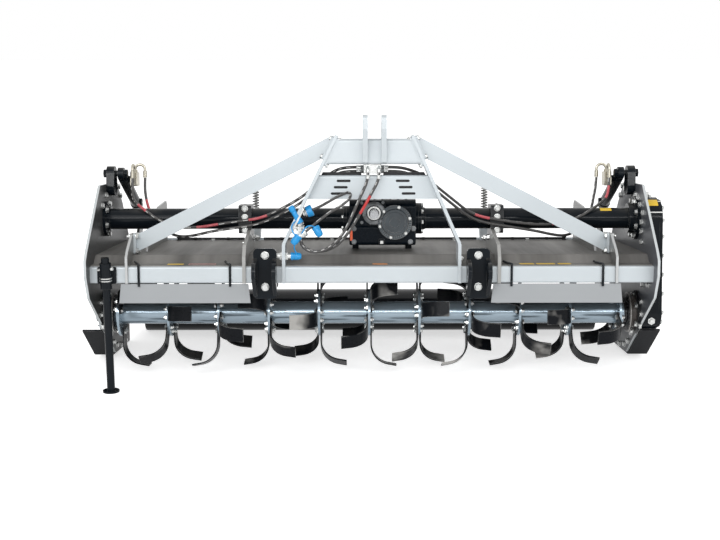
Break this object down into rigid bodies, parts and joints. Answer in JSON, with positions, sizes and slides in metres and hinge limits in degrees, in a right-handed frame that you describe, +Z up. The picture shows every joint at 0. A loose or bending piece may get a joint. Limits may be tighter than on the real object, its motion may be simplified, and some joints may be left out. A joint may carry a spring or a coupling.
{
  "type": "rotary tiller",
  "caption": "Wide rotary tiller for a tractor's three-point linkage, with bladed rotor, side drive, hydraulic packer roller, tailgate and a parking stand.",
  "frame": {"origin": "middle of the machine's footprint at floor level, as it stands parked", "axes": "+X to the right of someone at the tractor who faces the machine, +Y to the machine's rear, +Z up"},
  "size_m": [2.906, 1.3623, 1.3233],
  "materials": {
    "silver_paint": "metallic satin",
    "black_paint": "gloss",
    "casting": "painted black, rough",
    "roller_paint": "high gloss",
    "rotor_paint": "metallic satin",
    "blade_paint": "satin",
    "zinc": "zinc plated",
    "chrome": "polished",
    "spring_steel": "satin",
    "hose_rubber": "dark, satin, with a printed line"
  },
  "bodies": {
    "frame": {"front_beam": "silver_paint", "side_plate_left": "silver_paint", "side_plate_right": "silver_paint", "deck": "silver_paint", "rear_beam": "silver_paint", "mast_leg_left": "silver_paint", "mast_leg_right": "silver_paint", "headstock_beam": "silver_paint", "top_link_ears": "silver_paint", "brace_left": "silver_paint", "brace_bracket_left": "silver_paint", "brace_right": "silver_paint", "brace_bracket_right": "silver_paint", "deck_fins": "silver_paint", "gearbox": "casting", "cross_tube_left": "black_paint", "cross_tube_right": "black_paint", "tube_bracket_left": "silver_paint", "tube_bracket_right": "silver_paint", "drive_case": "black_paint", "rotor_bearings": "black_paint", "bearing_cap": "silver_paint", "skids": "black_paint", "cylinder_saddles": "black_paint", "tailgate_hinge": "silver_paint", "spring_brackets": "silver_paint", "tailgate_springs": "spring_steel", "hitch_bracket_left": "black_paint", "hitch_bracket_right": "black_paint", "mast_guard": "silver_paint", "hose_block": "zinc", "hose_couplers": "zinc", "hose_left_front": "hose_rubber", "hose_left_rear": "hose_rubber", "hose_right_front": "hose_rubber", "hose_right_rear": "hose_rubber", "supply_hose_left": "hose_rubber", "supply_hose_right": "hose_rubber", "loop_hose": "hose_rubber", "name_plates": "silver_paint", "plate_straps": "black_paint", "stand_holder": "black_paint"},
    "rotor": {"rotor": "rotor_paint", "blades_left": "blade_paint", "blades_right": "blade_paint"},
    "pto": {"pto_shaft": "zinc"},
    "roller_frame": {"roller_arm_left": "black_paint", "roller_arm_right": "black_paint"},
    "roller": {"roller": "roller_paint"},
    "barrel_left": {"cylinder_barrel_left": "black_paint", "cylinder_valve_left": "zinc"},
    "barrel_right": {"cylinder_barrel_right": "black_paint", "cylinder_valve_right": "zinc"},
    "rod_left": {"cylinder_rod_left": "chrome"},
    "rod_right": {"cylinder_rod_right": "chrome"},
    "tailgate": {"tailgate": "silver_paint"},
    "spring_rod_left": {"spring_rod_left": "zinc"},
    "spring_rod_right": {"spring_rod_right": "zinc"},
    "stand_leg": {"stand_leg": "black_paint"}
  },
  "joints": [
    {"name": "rotor_turn", "type": "hinge", "parent": "frame", "child": "rotor", "pos_m": [-0.001, -0.23372, 0.30322], "axis": [1, 0, 0], "continuous": true},
    {"name": "pto_turn", "type": "hinge", "parent": "frame", "child": "pto", "pos_m": [0.013, -0.29741, 0.82071], "axis": [0, -0.9954, 0.0958], "continuous": true},
    {"name": "roller_arms", "type": "hinge", "parent": "frame", "child": "roller_frame", "pos_m": [-0.001, 0.425, 0.46684], "axis": [1, 0, 0], "range_deg": [-4, 24]},
    {"name": "roller_turn", "type": "hinge", "parent": "roller_frame", "child": "roller", "pos_m": [-0.001, 0.5632, 0.118], "axis": [1, 0, 0], "continuous": true},
    {"name": "tailgate_hinge", "type": "hinge", "parent": "frame", "child": "tailgate", "pos_m": [-0.001, 0.39044, 0.55657], "axis": [1, 0, 0], "range_deg": [0, 50]},
    {"name": "stand_slide", "type": "slide", "parent": "frame", "child": "stand_leg", "axis": [0, 0, 1], "range_m": [0, 0.3]},
    {"name": "cylinder_tilt_left", "type": "hinge", "parent": "frame", "child": "barrel_left", "pos_m": [-1.271, -0.05225, 0.98798], "axis": [1, 0, 0], "range_deg": [-0.6, 0.8]},
    {"name": "cylinder_stroke_left", "type": "slide", "parent": "barrel_left", "child": "rod_left", "axis": [0, 0.8663, -0.4995], "range_m": [-0.093, 0.017]},
    {"name": "spring_rod_lift_left", "type": "slide", "parent": "frame", "child": "spring_rod_left", "axis": [0, 0.0959, 0.9954], "range_m": [0, 0.0732]},
    {"name": "cylinder_tilt_right", "type": "hinge", "parent": "frame", "child": "barrel_right", "pos_m": [1.269, -0.05225, 0.98798], "axis": [1, 0, 0], "range_deg": [-0.6, 0.8]},
    {"name": "cylinder_stroke_right", "type": "slide", "parent": "barrel_right", "child": "rod_right", "axis": [0, 0.8663, -0.4995], "range_m": [-0.093, 0.017]},
    {"name": "spring_rod_lift_right", "type": "slide", "parent": "frame", "child": "spring_rod_right", "axis": [0, 0.0959, 0.9954], "range_m": [0, 0.0732]}
  ],
  "couplings": [
    {"joint": "pto_turn", "follows": "rotor_turn", "ratio": 4},
    {"joint": "cylinder_tilt_left", "follows": "roller_arms", "ratio": 0.013},
    {"joint": "cylinder_stroke_left", "follows": "roller_arms", "m_per_rad": -0.2165},
    {"joint": "spring_rod_lift_left", "follows": "tailgate_hinge", "m_per_rad": 0.0816},
    {"joint": "cylinder_tilt_right", "follows": "roller_arms", "ratio": 0.013},
    {"joint": "cylinder_stroke_right", "follows": "roller_arms", "m_per_rad": -0.2165},
    {"joint": "spring_rod_lift_right", "follows": "tailgate_hinge", "m_per_rad": 0.0816}
  ]
}
